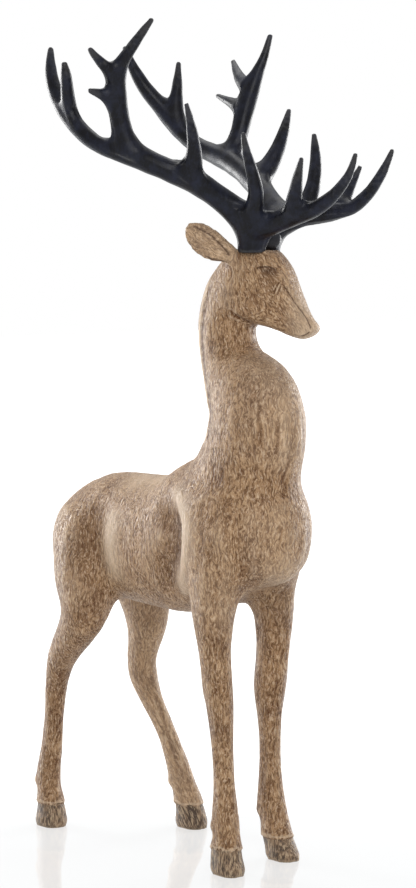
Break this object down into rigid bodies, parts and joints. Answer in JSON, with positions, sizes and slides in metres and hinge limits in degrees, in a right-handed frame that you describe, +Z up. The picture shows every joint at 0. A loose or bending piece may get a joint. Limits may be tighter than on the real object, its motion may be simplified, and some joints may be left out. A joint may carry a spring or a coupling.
{
  "type": "stag figurine",
  "caption": "Standing stag figurine with turned head, wood-brown cast body and black branching antlers, for a shelf or console.",
  "frame": {"origin": "middle of the bounding box on the floor, under the hooves", "axes": "+Z up; the stag looks along -Y, its left side is +X, and its head is turned 22 degrees to its left"},
  "size_m": [0.2078, 0.32, 0.5994],
  "materials": {
    "coat": "cast resin carved with hair strokes, painted tan with dark washes and a pale dry brush",
    "antler": "satin black paint on cast resin"
  },
  "bodies": {
    "root": {"body": "coat", "antler_right": "antler", "antler_left": "antler"}
  },
  "joints": []
}
